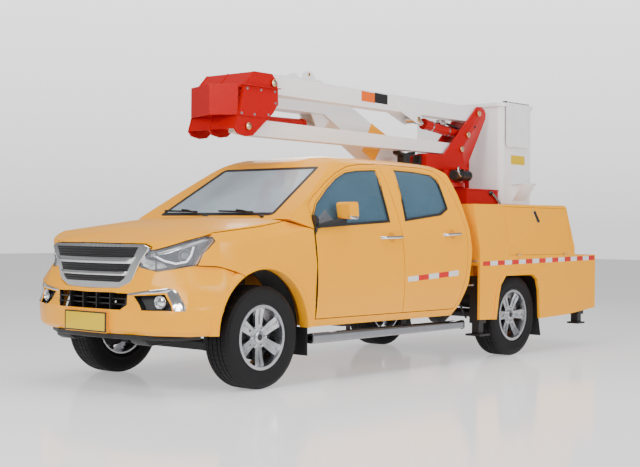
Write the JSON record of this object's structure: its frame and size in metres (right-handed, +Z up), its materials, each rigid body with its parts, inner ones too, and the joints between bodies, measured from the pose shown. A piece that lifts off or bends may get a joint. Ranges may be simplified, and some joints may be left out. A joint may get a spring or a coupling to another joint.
{
  "type": "cherry picker truck",
  "caption": "Double-cab pickup truck with service boxes and a slewing two-arm folding boom that carries a work bucket.",
  "frame": {"origin": "on the ground, midway along and across the truck", "axes": "+X forward, +Y to the truck's left, +Z up"},
  "size_m": [5.854, 2, 2.6],
  "materials": {
    "body_paint": "gloss yellow-orange paint",
    "chassis_black": "satin black paint",
    "engine_grey": "bare casting",
    "glass_dark": "tinted glass",
    "lamp_clear": "clear lens",
    "grille_chrome": "polished",
    "alloy": "silver lacquer",
    "tyre_rubber": "black rubber",
    "flap_rubber": "black rubber",
    "step_black": "black",
    "seat_fabric": "dark cloth",
    "dash_plastic": "dark grey",
    "arm_white": "gloss white paint",
    "turret_red": "gloss red paint",
    "bucket_white": "white fibreglass",
    "rod_chrome": "polished rod",
    "axle_steel": "black painted casting",
    "motor_black": "black paint"
  },
  "bodies": {
    "truck": {"chassis_frame": "chassis_black", "engine_block": "engine_grey", "cab_shell": "body_paint", "cab_glass": "glass_dark", "front_fenders": "body_paint", "front_bumper": "body_paint", "grille": "grille_chrome", "lamps": "lamp_clear", "seats": "seat_fabric", "dashboard": "dash_plastic", "running_boards": "step_black", "service_box_left": "body_paint", "service_box_right": "body_paint", "rear_deck": "body_paint", "mudflaps": "flap_rubber", "pedestal": "turret_red", "front_suspension": "axle_steel", "rear_axle": "axle_steel"},
    "bonnet": {"bonnet": "body_paint"},
    "turret": {"turret": "turret_red", "slew_drive": "motor_black", "boom_rest": "chassis_black"},
    "main_arm": {"main_arm": "arm_white"},
    "levelling_link": {"levelling_link": "arm_white"},
    "lift_barrel": {"lift_barrel": "turret_red"},
    "lift_rod": {"lift_rod": "rod_chrome"},
    "elbow": {"elbow": "turret_red", "elbow_cover": "turret_red"},
    "upper_boom": {"upper_boom": "arm_white"},
    "fold_barrel": {"fold_barrel": "turret_red"},
    "fold_rod": {"fold_rod": "rod_chrome"},
    "bucket": {"bucket": "bucket_white", "bucket_carrier": "turret_red"},
    "wheel_front_left": {"tyre_front_left": "tyre_rubber", "rim_front_left": "alloy"},
    "knuckle_left": {"knuckle_left": "axle_steel"},
    "wheel_front_right": {"tyre_front_right": "tyre_rubber", "rim_front_right": "alloy"},
    "knuckle_right": {"knuckle_right": "axle_steel"},
    "wheel_rear_left": {"tyre_rear_left": "tyre_rubber", "rim_rear_left": "alloy"},
    "wheel_rear_right": {"tyre_rear_right": "tyre_rubber", "rim_rear_right": "alloy"},
    "door_front_left": {"door_front_left": "body_paint", "glass_front_left": "glass_dark"},
    "door_front_right": {"door_front_right": "body_paint", "glass_front_right": "glass_dark"},
    "door_rear_left": {"door_rear_left": "body_paint", "glass_rear_left": "glass_dark"},
    "door_rear_right": {"door_rear_right": "body_paint", "glass_rear_right": "glass_dark"},
    "lid_left": {"box_lid_left": "body_paint"},
    "lid_right": {"box_lid_right": "body_paint"},
    "jack_front_left": {"jack_front_left": "chassis_black"},
    "jack_front_right": {"jack_front_right": "chassis_black"},
    "jack_rear_left": {"jack_rear_left": "chassis_black"},
    "jack_rear_right": {"jack_rear_right": "chassis_black"}
  },
  "joints": [
    {"name": "slew", "type": "hinge", "parent": "truck", "child": "turret", "pos_m": [-1.54, 0, 1.65], "axis": [0, 0, 1], "range_deg": [-90, 90]},
    {"name": "lower_boom", "type": "hinge", "parent": "turret", "child": "main_arm", "pos_m": [-1.973, 0, 2.369], "axis": [0, -1, 0], "range_deg": [0, 75]},
    {"name": "lower_link", "type": "hinge", "parent": "turret", "child": "levelling_link", "pos_m": [-1.675, 0, 1.992], "axis": [0, -1, 0], "range_deg": [0, 75]},
    {"name": "elbow_level", "type": "hinge", "parent": "main_arm", "child": "elbow", "pos_m": [1.077, 0, 2.387], "axis": [0, -1, 0], "range_deg": [-75, 0]},
    {"name": "lift_barrel_turn", "type": "hinge", "parent": "turret", "child": "lift_barrel", "pos_m": [-1.785, 0, 2.142], "axis": [0, -1, 0], "range_deg": [0, 75]},
    {"name": "lift_rod_slide", "type": "slide", "parent": "lift_barrel", "child": "lift_rod", "axis": [0.9931, 0, 0.1173], "range_m": [0, 0.37]},
    {"name": "upper_boom_fold", "type": "hinge", "parent": "elbow", "child": "upper_boom", "pos_m": [1.077, -0.325, 2.387], "axis": [0, 1, 0], "range_deg": [0, 95]},
    {"name": "fold_barrel_turn", "type": "hinge", "parent": "elbow", "child": "fold_barrel", "pos_m": [0.877, -0.325, 2.12], "axis": [0, 1, 0], "range_deg": [0, 95]},
    {"name": "fold_rod_slide", "type": "slide", "parent": "fold_barrel", "child": "fold_rod", "axis": [-0.9999, 0, 0.0147], "range_m": [0, 0.5]},
    {"name": "bucket_level", "type": "hinge", "parent": "upper_boom", "child": "bucket", "pos_m": [-2.06, -0.325, 1.672], "axis": [0, 1, 0], "range_deg": [-95, 0]},
    {"name": "steer_left", "type": "hinge", "parent": "truck", "child": "knuckle_left", "pos_m": [2.015, 0.69, 0.3815], "axis": [0, 0, 1], "range_deg": [-30, 30]},
    {"name": "wheel_front_left_spin", "type": "hinge", "parent": "knuckle_left", "child": "wheel_front_left", "pos_m": [2.015, 0.785, 0.3815], "axis": [0, 1, 0], "continuous": true},
    {"name": "steer_right", "type": "hinge", "parent": "truck", "child": "knuckle_right", "pos_m": [2.015, -0.69, 0.3815], "axis": [0, 0, 1], "range_deg": [-30, 30]},
    {"name": "wheel_front_right_spin", "type": "hinge", "parent": "knuckle_right", "child": "wheel_front_right", "pos_m": [2.015, -0.785, 0.3815], "axis": [0, 1, 0], "continuous": true},
    {"name": "wheel_rear_left_spin", "type": "hinge", "parent": "truck", "child": "wheel_rear_left", "pos_m": [-1.445, 0.755, 0.3815], "axis": [0, 1, 0], "continuous": true},
    {"name": "wheel_rear_right_spin", "type": "hinge", "parent": "truck", "child": "wheel_rear_right", "pos_m": [-1.445, -0.755, 0.3815], "axis": [0, 1, 0], "continuous": true},
    {"name": "door_front_left_swing", "type": "hinge", "parent": "truck", "child": "door_front_left", "pos_m": [1.427, 0.93, 0.9], "axis": [0, 0, -1], "range_deg": [0, 70]},
    {"name": "door_front_right_swing", "type": "hinge", "parent": "truck", "child": "door_front_right", "pos_m": [1.427, -0.93, 0.9], "axis": [0, 0, 1], "range_deg": [0, 70]},
    {"name": "door_rear_left_swing", "type": "hinge", "parent": "truck", "child": "door_rear_left", "pos_m": [0.327, 0.93, 0.9], "axis": [0, 0, -1], "range_deg": [0, 70]},
    {"name": "door_rear_right_swing", "type": "hinge", "parent": "truck", "child": "door_rear_right", "pos_m": [0.327, -0.93, 0.9], "axis": [0, 0, 1], "range_deg": [0, 70]},
    {"name": "bonnet_lift", "type": "hinge", "parent": "truck", "child": "bonnet", "pos_m": [1.706, 0, 1.3], "axis": [0, -1, 0], "range_deg": [0, 45]},
    {"name": "lid_left_drop", "type": "hinge", "parent": "truck", "child": "lid_left", "pos_m": [-1.865, 0.935, 0.9505], "axis": [-1, 0, 0], "range_deg": [0, 100]},
    {"name": "lid_right_drop", "type": "hinge", "parent": "truck", "child": "lid_right", "pos_m": [-1.865, -0.935, 0.9505], "axis": [1, 0, 0], "range_deg": [0, 100]},
    {"name": "jack_front_left_slide", "type": "slide", "parent": "truck", "child": "jack_front_left", "axis": [0, 0, -1], "range_m": [0, 0.205]},
    {"name": "jack_front_right_slide", "type": "slide", "parent": "truck", "child": "jack_front_right", "axis": [0, 0, -1], "range_m": [0, 0.205]},
    {"name": "jack_rear_left_slide", "type": "slide", "parent": "truck", "child": "jack_rear_left", "axis": [0, 0, -1], "range_m": [0, 0.224]},
    {"name": "jack_rear_right_slide", "type": "slide", "parent": "truck", "child": "jack_rear_right", "axis": [0, 0, -1], "range_m": [0, 0.224]}
  ],
  "couplings": [
    {"joint": "lower_link", "follows": "lower_boom", "ratio": 1},
    {"joint": "elbow_level", "follows": "lower_boom", "ratio": -1},
    {"joint": "lift_barrel_turn", "follows": "lower_boom", "ratio": 0.9811},
    {"joint": "lift_rod_slide", "follows": "lower_boom", "m_per_rad": 0.27353},
    {"joint": "fold_barrel_turn", "follows": "upper_boom_fold", "ratio": 0.9545},
    {"joint": "fold_rod_slide", "follows": "upper_boom_fold", "m_per_rad": 0.29295},
    {"joint": "bucket_level", "follows": "upper_boom_fold", "ratio": -1},
    {"joint": "steer_right", "follows": "steer_left", "ratio": 1}
  ]
}
